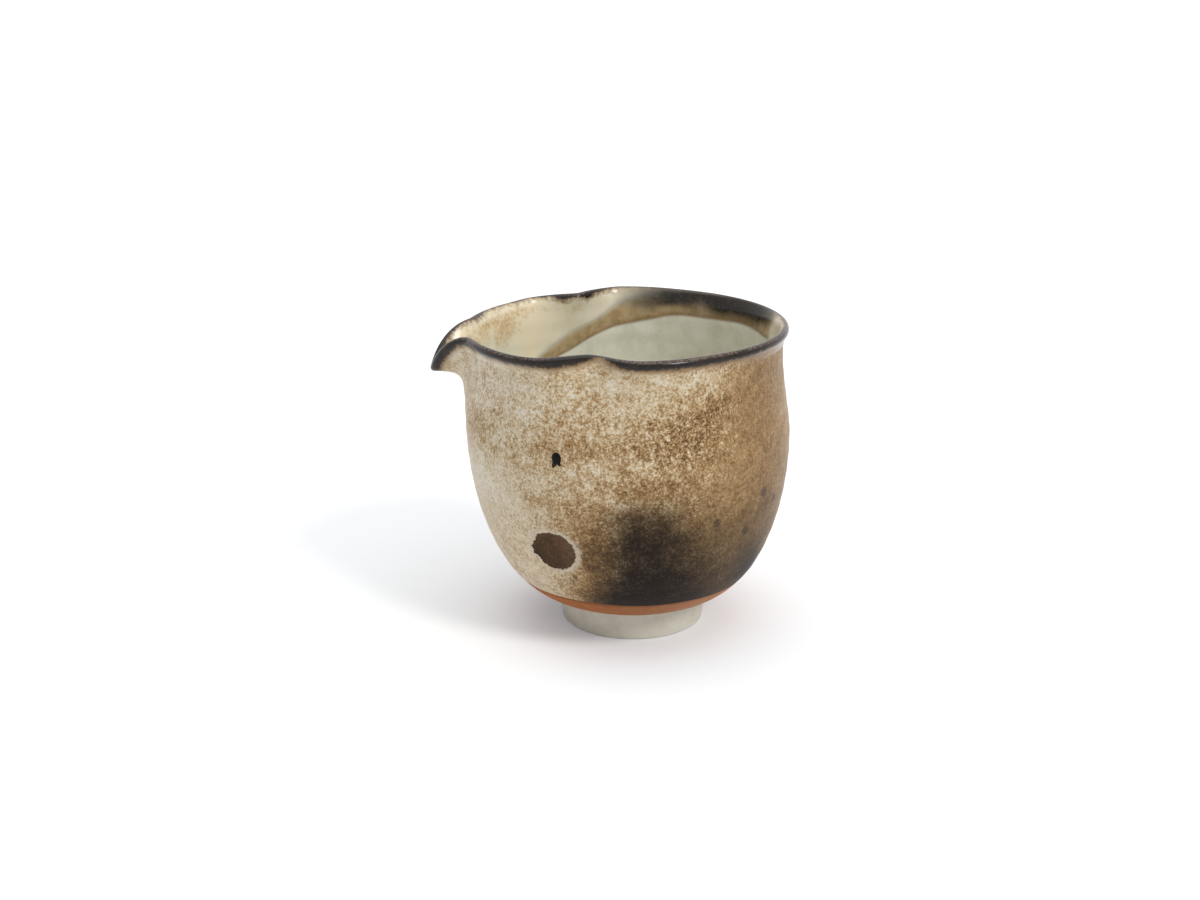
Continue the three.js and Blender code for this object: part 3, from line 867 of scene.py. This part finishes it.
# %% [markdown]
# A finish in Blender is a network of small nodes. Written out one by one they are long and hard to
# follow, so here a socket is wrapped in a small class that knows the signs of arithmetic: adding
# two of them adds a Math node. One method makes any other node from its type, its settings and
# what goes into its sockets.

# %% Sums with sockets
MIX_SHARE, MIX_FIRST, MIX_SECOND, MIX_RESULT = 0, 6, 7, 2


class Number:
    """The output of a node. Adding, taking away and multiplying make Math nodes."""

    def __init__(self, recipe, socket):
        self.recipe = recipe
        self.socket = socket

    def __add__(self, other):
        return self.recipe.math("ADD", self, other)

    def __sub__(self, other):
        return self.recipe.math("SUBTRACT", self, other)

    def __mul__(self, other):
        return self.recipe.math("MULTIPLY", self, other)

    def __radd__(self, other):
        return self.recipe.math("ADD", other, self)

    def __rsub__(self, other):
        return self.recipe.math("SUBTRACT", other, self)

    def __rmul__(self, other):
        return self.recipe.math("MULTIPLY", other, self)


class Recipe:
    """A tree of nodes, and the few methods that it is written with."""

    def __init__(self, tree):
        self.tree = tree

    def node(self, kind, settings, inputs, output=0):
        """Adds a node: its settings first, then a value or a link for each named socket."""
        made = self.tree.nodes.new(kind)
        for name, value in settings.items():
            setattr(made, name, value)
        for name, value in inputs.items():
            self.feed(made.inputs[name], value)
        return Number(self, made.outputs[output])

    def feed(self, target, value):
        """Links a socket to a target, or writes a plain value into it."""
        if isinstance(value, Number):
            self.tree.links.new(value.socket, target)
        elif hasattr(value, "__len__") and len(value) == 3 and target.type == "RGBA":
            target.default_value = (*value, 1)
        else:
            target.default_value = value

    def math(self, operation, first, second):
        """One sum of two numbers or sockets."""
        return self.node("ShaderNodeMath", {"operation": operation}, {0: first, 1: second})

    def mark(self, name):
        """A mark that the mesh carries, such as the paleness or the height."""
        return self.node("ShaderNodeAttribute", {"attribute_name": name}, {}, "Fac")

    def step(self, value, start, end):
        """0 below start and 1 above end, with a soft S curve in between."""
        inputs = {"Value": value, "From Min": start, "From Max": end}
        return self.node("ShaderNodeMapRange", {"interpolation_type": "SMOOTHSTEP"}, inputs)

    def blend(self, first, second, share):
        """Colour that goes from the first to the second as share goes from 0 to 1."""
        inputs = {MIX_SHARE: share, MIX_FIRST: first, MIX_SECOND: second}
        return self.node("ShaderNodeMix", {"data_type": "RGBA"}, inputs, MIX_RESULT)

    def ramp(self, share, *colours):
        """Colour that passes through evenly spaced colours as share goes from 0 to 1."""
        shown = colours[0]
        for passed, following in enumerate(colours[1:]):
            shown = self.blend(shown, following, share * (len(colours) - 1) - passed)
        return shown

    def noise(self, size, detail=2.0, roughness=0.5, stretch=(1, 1, 1)):
        """Cloudy noise whose blots are about size millimetres across, on object coordinates."""
        where = self.node("ShaderNodeTexCoord", {}, {}, "Object")
        placed = self.node("ShaderNodeMapping", {}, {"Vector": where, "Scale": stretch})
        inputs = {"Vector": placed, "Scale": 1 / (size * METRE), "Detail": detail}
        return self.node("ShaderNodeTexNoise", {}, inputs | {"Roughness": roughness}, "Fac")

    def bump(self, height, strength, distance):
        """Turns a height into slanted light: distance is how many mm the height stands for."""
        inputs = {"Height": height, "Strength": strength, "Distance": distance * METRE}
        return self.node("ShaderNodeBump", {}, inputs, "Normal")


class Finish(Recipe):
    """The recipe of a material."""

    def __init__(self, name):
        self.material = bpy.data.materials.new(name)
        self.material.use_nodes = True
        super().__init__(self.material.node_tree)
        self.shader = self.tree.nodes["Principled BSDF"]

    def set(self, **values):
        """Writes or links sockets of the material's shader."""
        for name, value in values.items():
            self.feed(self.shader.inputs[name.replace("_", " ")], value)


def colour(red, green, blue):
    """A colour given as on a screen, from 0 to 255, as the linear light that shaders use."""
    picked = np.array([red, green, blue]) / 255
    return tuple(np.where(picked <= 0.04045, picked / 12.92, ((picked + 0.055) / 1.055) ** 2.4))


def sway(noise, reach):
    """A noise as a change about nought: (noise - 0.5) x reach."""
    return (noise - 0.5) * reach


# %% [markdown]
# The colours of the melt lie on one line from burnt brown over tan and cream to ash, which is warmer
# low on the pot. The marks say how pale each place is, and a grain of blots, clumps and fine dust
# goes up and down that line. The same grain frays the char and the halo round the patch.

# %% The curdled ash glaze
BURNT, BROWN, TAN = colour(92, 68, 40), colour(130, 101, 65), colour(165, 136, 97)
CREAM, ASH_COOL, ASH_WARM = colour(199, 182, 152), colour(216, 209, 194), colour(220, 205, 184)
HALO, CHAR_AND_SHADE, MARK_DARK = colour(206, 194, 174), colour(26, 15, 6), colour(44, 34, 26)
PATCH_LIGHT, PATCH_DARK, PATCH_PINK = colour(73, 53, 34), colour(46, 32, 19), colour(98, 74, 57)
WARM_HEIGHTS, WARM_WAVER = (24, 56), 40
HALO_BORDER, HALO_SHARE, HALO_FRAY, CHAR_FRAY = (-2.2, -0.5), 0.7, 2.0, 0.2
MARK_BORDER, MARK_SHARE, PATCH_BORDER, PATCH_FRAY = (0.1, 0.9), 0.68, (-0.1, 0.15), 1.6


def curdled_grain(f):
    """Blots of a millimetre, larger clumps and fine dust, added up around nought."""
    blots, clumps, dust = f.noise(1.0, 3, 0.65), f.noise(3.4, 2), f.noise(0.5, 1)
    return blots - 0.5 + sway(clumps, 0.55) + sway(dust, 0.5)


def ash_colour(f):
    """The melt's line of colours, then the patch's halo, char with painted shade, round marks and the
    patch.
    """
    grain = curdled_grain(f)
    fine, cloud = f.noise(0.7, 2, 0.6), f.noise(11, 2)
    warm = 1 - f.step(f.mark("height") + sway(cloud, WARM_WAVER), *WARM_HEIGHTS)
    pale = f.mark("pale") + grain * f.mark("lively")
    # The pale mark is partly painted shade on the right side, near bearings 126 to 140.
    shown = f.ramp(pale, BURNT, BROWN, TAN, CREAM, f.blend(ASH_COOL, ASH_WARM, warm))
    halo = f.step(f.mark("patch") + grain * HALO_FRAY, *HALO_BORDER)
    shown = f.blend(shown, HALO, halo * HALO_SHARE)
    # Char, and the painted shade on the lower right that rides on the same mark.
    shown = f.blend(shown, CHAR_AND_SHADE, f.mark("char_and_shade") - grain * CHAR_FRAY)
    marked = f.step(f.mark("round_marks") + sway(fine, 0.4), *MARK_BORDER)
    shown = f.blend(shown, MARK_DARK, marked * MARK_SHARE)
    blotched = 0.5 + sway(fine, 1.2) + sway(cloud, 2.5)
    bare = f.ramp(blotched, PATCH_DARK, PATCH_LIGHT, PATCH_PINK)
    inside_patch = f.step(f.mark("patch") + sway(f.noise(0.8, 2), PATCH_FRAY), *PATCH_BORDER)
    return f.blend(shown, bare, inside_patch)


# %% [markdown]
# Inside, the glaze is smooth, thin and green like celadon, warmer towards the lip and creamy in
# the spout. The brown band has a fine dark line along its lower edge, and turns nearly black near
# the lip at the back.

# %% The green glaze inside
GREEN_PALE, GREEN_DEEP = colour(222, 221, 208), colour(207, 206, 190)
CREAM_INSIDE, TOAST, TOAST_DARK = colour(230, 218, 190), colour(214, 186, 140), colour(184, 152, 106)
BAND_BROWN, BAND_OLIVE, BAND_LINE = colour(158, 130, 90), colour(176, 154, 114), colour(128, 98, 60)
BACK_LIP_BLACK = colour(20, 15, 10)
LOWER_LINE, UPPER_LINE = (0.0, 0.3), (0.8, 1.0)
TOAST_SHARE, BAND_SHARE = 0.75, 0.95


def green_colour(f):
    """Green below, cream above, toasted clouds, then the brown band and the near black under the back
    lip.
    """
    cloud, dust, fine = f.noise(13, 2), f.noise(1.1, 3, 0.6), f.noise(2.6, 2)
    shown = f.blend(GREEN_DEEP, GREEN_PALE, f.step(f.noise(6, 3) * 0.7 + dust * 0.3, 0.34, 0.6))
    shown = f.blend(shown, CREAM_INSIDE, f.mark("cream") + sway(cloud, 0.5))
    toasted = f.step(f.mark("toasted") + sway(fine, 1.0) + sway(dust, 0.9), 0.1, 1.0)
    toast = f.blend(TOAST, TOAST_DARK, f.step(dust, 0.4, 0.62))
    shown = f.blend(shown, toast, toasted * TOAST_SHARE)
    across = f.mark("across") + sway(dust, 0.3)
    lines = (1 - f.step(across, *LOWER_LINE)) * 0.9 + f.step(across, *UPPER_LINE) * 0.5
    brown = f.blend(BAND_BROWN, BAND_OLIVE, f.step(fine + sway(dust, 0.5), 0.35, 0.6))
    shown = f.blend(shown, f.blend(brown, BAND_LINE, lines), f.mark("band") * BAND_SHARE)
    return f.blend(shown, BACK_LIP_BLACK, f.mark("back_lip_black") + sway(dust, 0.35) * f.mark("band"))


# %% [markdown]
# Iron brushed on the lip melts to black glass where it is thick and stains the glaze brown where
# it is thin. Along the crest the melt drew back and left a row of lighter beads.

# %% The iron edge
IRON_BLACK, IRON_GREY, IRON_WORN = colour(17, 12, 8), colour(38, 28, 21), colour(104, 80, 68)
IRON_STAIN = colour(122, 92, 58)
STAIN_BORDER, STAIN_FRAY, STAIN_SHARE = (-1.3, 0.4), 2.6, 0.85
BLACK_BORDER, BLACK_FRAY, WORN_SHARE = (-0.15, 0.75), 1.8, 0.9


def with_iron(f, under):
    """The glaze beneath, stained brown near the iron's border and black within it."""
    ragged, slow, beads = f.noise(1.0, 3, 0.65), f.noise(5, 1), f.noise(0.8, 1)
    iron = f.mark("iron") + sway(slow, 1.0)
    blackened = f.mark("back_lip_black") * f.mark("side")
    stain = f.step(iron + sway(ragged, STAIN_FRAY), *STAIN_BORDER) * (STAIN_SHARE - blackened * 0.8)
    black = f.step(iron + sway(ragged, BLACK_FRAY), *BLACK_BORDER)
    metal = f.blend(IRON_BLACK, IRON_GREY, f.step(ragged + sway(slow, 0.8), 0.45, 0.65))
    worn = (1 - f.step(f.mark("under_lip"), 0.25, 0.7)) * f.step(beads, 0.4, 0.6)
    metal = f.blend(metal, IRON_WORN, worn * f.step(f.mark("side"), 0.3, 0.55) * WORN_SHARE)
    return f.blend(f.blend(under, IRON_STAIN, stain), metal, black)


# %% [markdown]
# Now each piece gets its finish. Roughness follows the firing: the ash has a satin skin, char and
# the bare patch are dull, iron and the inner glaze are glassy. The faint bump is the skin of the
# melt, finer than the mesh.

# %% Finishes of the coats
SATIN, CHAR_DULL, PATCH_DULL = 0.4, 0.1, 0.3
OUTSIDE_SHINE, IRON_SHINE, INSIDE_SHINE, BEAD_SHINE = 0.15, 0.3, 0.4, 0.12
BEAD_BLACK, BEAD_BROWN = colour(12, 8, 6), colour(48, 33, 20)


def outside_finish():
    """Satin ash under the iron's border; roughness = satin + the dullness of char and patch."""
    f = Finish("ash_glaze_finish")
    dull = f.mark("char_and_shade") * CHAR_DULL + f.step(f.mark("patch"), -0.2, 0.2) * PATCH_DULL
    f.set(Base_Color=with_iron(f, ash_colour(f)), Specular_IOR_Level=OUTSIDE_SHINE)
    f.set(Roughness=SATIN + dull + sway(f.noise(3, 2), 0.1))
    f.set(Normal=f.bump(curdled_grain(f), 0.3, 0.06))
    return f.material


def rim_finish():
    """Glassy iron over the outer melt, which blends into the inner one across the lip."""
    f = Finish("iron_glaze_finish")
    under = f.blend(ash_colour(f), green_colour(f), f.mark("side"))
    f.set(Base_Color=with_iron(f, under), Specular_IOR_Level=IRON_SHINE)
    f.set(Roughness=0.12 + f.noise(1.0, 2) * 0.14, Normal=f.bump(f.noise(1.6, 2), 0.35, 0.08))
    return f.material


def inside_finish():
    """Smooth green glass, with the iron's border at its top."""
    f = Finish("green_glaze_finish")
    f.set(Base_Color=with_iron(f, green_colour(f)), Specular_IOR_Level=INSIDE_SHINE)
    f.set(Roughness=0.06 + f.noise(4, 2) * 0.08, Normal=f.bump(f.noise(4, 2), 0.2, 0.12))
    return f.material


def bead_finish():
    """Black iron glass with brown in it where the noise is high."""
    f = Finish("iron_bead_finish")
    f.set(Base_Color=f.blend(BEAD_BLACK, BEAD_BROWN, f.step(f.noise(1.3, 2), 0.5, 0.7)))
    f.set(Roughness=0.2 + f.noise(0.6, 1) * 0.1, Normal=f.bump(f.noise(0.8, 1), 0.2, 0.05))
    f.set(Specular_IOR_Level=BEAD_SHINE)
    return f.material


# %% [markdown]
# The bare clay is pale and close-grained, with faint turning lines. In the band above the foot the
# flame drew iron to the surface, so that it is orange there, a little darker where it meets the
# glaze, dull where the embers smoked it and paler on the right.

# %% Finishes of the bare clay
FLASHED, FLASHED_DARK, FLASHED_PALE = colour(166, 97, 43), colour(108, 62, 33), colour(178, 114, 64)
FLASHED_SMOKED, FADED_SHARE, BAND_TOP = colour(86, 66, 52), 0.3, (14.0, 15.6)
CLAY_SHINE = 0.2
CLAY_PALE, CLAY_SHADE, CLAY_WARM = colour(219, 218, 207), colour(210, 209, 197), colour(208, 192, 168)


def band_finish():
    """Orange clay from a ramp of noise, then faded, smoked and darker at its upper edge."""
    f = Finish("flashed_clay_finish")
    edge = f.step(f.mark("height") + sway(f.noise(2.5, 2), 1.2), *BAND_TOP)
    lively = f.ramp(f.noise(2.2, 3, 0.6) + 0.05, FLASHED_DARK, FLASHED, FLASHED_PALE)
    faded = f.blend(lively, CLAY_WARM, f.mark("faded") * FADED_SHARE)
    smoked = f.blend(faded, FLASHED_SMOKED, f.mark("smoked"))
    f.set(Base_Color=f.blend(smoked, FLASHED_DARK, edge * 0.8), Specular_IOR_Level=CLAY_SHINE)
    f.set(Roughness=0.55 + f.noise(1.5, 2) * 0.2, Normal=f.bump(f.noise(0.5, 3), 0.4, 0.05))
    return f.material


def foot_finish(name, warmth):
    """Pale clay, with warm clouds by a share; noise pulled out sideways gives the turning lines."""
    f = Finish(name)
    turning, grit = f.noise(0.7, 2, stretch=(0.04, 0.04, 1)), f.noise(0.6, 3)
    pale = f.blend(CLAY_SHADE, CLAY_PALE, f.step(f.noise(3.5, 3, 0.6) * 0.7 + grit * 0.3, 0.36, 0.6))
    warm = f.step(f.noise(9, 2), 0.45, 0.75) * warmth
    f.set(Base_Color=f.blend(pale, CLAY_WARM, warm), Specular_IOR_Level=CLAY_SHINE)
    f.set(Roughness=0.5 + f.noise(2, 2) * 0.2, Normal=f.bump(turning + grit * 0.6, 0.3, 0.04))
    return f.material


# %% Dress the pieces
DRESSED = [
    (pot_outside, "outer_glaze", "ash_glaze", outside_finish()),
    (pot_rim, "rim_glaze", "iron_glaze", rim_finish()),
    (pot_inside, "inner_glaze", "green_glaze", inside_finish()),
    (pot_band, "rust_band", "flashed_clay", band_finish()),
    (pot_foot, "foot_ring", "bare_foot", foot_finish("bare_foot_finish", 0.15)),
    (pot_clay, "clay_body", "clay", foot_finish("clay_finish", 0.6)),
]
for piece, node, slot, material in DRESSED:
    piece.data.materials.append(material)
    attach(piece, "root")
    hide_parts(node)

iron_bead.data.materials.append(bead_finish())
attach(iron_bead, "root")

# %% [markdown]
# The camera stands where the photographer's stood: a little above the bowl and half a metre away,
# with the spout on the left, turned a few degrees towards it.

# %% The camera
DISTANCE, ELEVATION, SPOUT_TURN, ROLL_ANGLE = 450.0, 17.75, 3.03, -0.04
AIM = np.array([-8.97, 0.47, 47.32])
SENSOR, LENS = 36.0, 49.83
NEAREST, FARTHEST = 0.01, 50

tilt, turn = np.radians(ELEVATION), np.radians(SPOUT_TURN)
back = np.array([-np.sin(turn) * np.cos(tilt), -np.cos(turn) * np.cos(tilt), np.sin(tilt)])
level = np.array([np.cos(turn), -np.sin(turn), 0])
steep = np.cross(back, level)
roll = np.radians(ROLL_ANGLE)
right = np.cos(roll) * level + np.sin(roll) * steep
upward = np.cos(roll) * steep - np.sin(roll) * level
camera = bpy.data.objects.new("camera", bpy.data.cameras.new("camera"))
camera.data.sensor_width = SENSOR
camera.data.lens = LENS
camera.data.clip_start, camera.data.clip_end = NEAREST, FARTHEST
directions = Matrix([right, upward, back]).transposed().to_4x4()
spot = (AIM + back * DISTANCE) * METRE + axis_point
camera.matrix_world = Matrix.Translation(spot) @ directions
bpy.context.scene.collection.objects.link(camera)
bpy.context.scene.camera = camera

# %% [markdown]
# The bowl stands on a white table in a white room. Three lights reach it: the room's own even
# light, a window high on the right in front, which throws the shadow to the back left, and soft
# light from straight above, which fills the inside and darkens the foot. Together they light a
# level white surface to about one, so that colours look about as they were picked.

# %% Lamps at a plain level
ROOM_LIGHT = 0.36
WINDOW_SHARE, WINDOW_BEARING, WINDOW_ELEVATION, WINDOW_SIZE = 0.27, 47.0, 40.0, 16.0
WINDOW_TINT = (1.0, 0.985, 0.96)
TOP_SHARE, TOP_SIZE = 0.56, 80.0


def lamp(name, share, toward, size, tint):
    """A far lamp that lights the level table by a share of plain white, from a direction."""
    toward = toward.normalized()
    light = bpy.data.lights.new(name, "SUN")
    light.energy = share * np.pi / toward.z
    light.angle = np.radians(size)
    light.color = tint
    holder = bpy.data.objects.new(name, light)
    holder.rotation_mode = "QUATERNION"
    holder.rotation_quaternion = toward.to_track_quat("Z", "Y")
    bpy.context.scene.collection.objects.link(holder)
    print(name, "shines with", round(light.energy, 2))


facing = np.radians(-90 - SPOUT_TURN + WINDOW_BEARING)
to_window = Vector((np.cos(facing), np.sin(facing), np.tan(np.radians(WINDOW_ELEVATION))))
lamp("window", WINDOW_SHARE, to_window, WINDOW_SIZE, WINDOW_TINT)
lamp("ceiling", TOP_SHARE, Vector((0, 0, 1)), TOP_SIZE, (1, 1, 1))

# %% [markdown]
# The table's colour is a pale grey, because a pure white one would lose the shadow's soft edge. For
# the camera and in reflections it glows a little on top of the light that it throws back, and
# the room around it is plain white in the same way.

# %% Table and room
TABLE_SIZE = 12.0
TABLE_WHITE = 0.9
TABLE_GLOW = (0.11, 0.13, 0.155)
ROOM_TINT = (1.0, 0.99, 0.98)
half = TABLE_SIZE / 2
corners = [(-half, -half, 0), (half, -half, 0), (half, half, 0), (-half, half, 0)]
table_mesh = bpy.data.meshes.new("table")
table_mesh.from_pydata(corners, [], [(0, 1, 2, 3)])
table = bpy.data.objects.new("table", table_mesh)
bpy.context.scene.collection.objects.link(table)


def seen(recipe):
    """1 for the camera's rays and for reflected and refracted ones, and 0 for those that light."""
    rays = recipe.tree.nodes.new("ShaderNodeLightPath").outputs
    names = ["Is Camera Ray", "Is Glossy Ray", "Is Transmission Ray"]
    camera_ray, glossy_ray, passed_ray = [Number(recipe, rays[name]) for name in names]
    return camera_ray + glossy_ray + passed_ray


white = Finish("white_table")
white.set(Base_Color=(TABLE_WHITE,) * 3, Roughness=0.9, Specular_IOR_Level=0.0)
white.set(Emission_Color=TABLE_GLOW, Emission_Strength=seen(white))
table.data.materials.append(white.material)

world = bpy.data.worlds.new("white_room")
world.use_nodes = True
room = Recipe(world.node_tree)
backdrop = world.node_tree.nodes["Background"]
room.feed(backdrop.inputs["Color"], ROOM_TINT)
room.feed(backdrop.inputs["Strength"], mix(ROOM_LIGHT, 1, seen(room)))
bpy.context.scene.world = world

bpy.context.scene.view_settings.view_transform = "Standard"
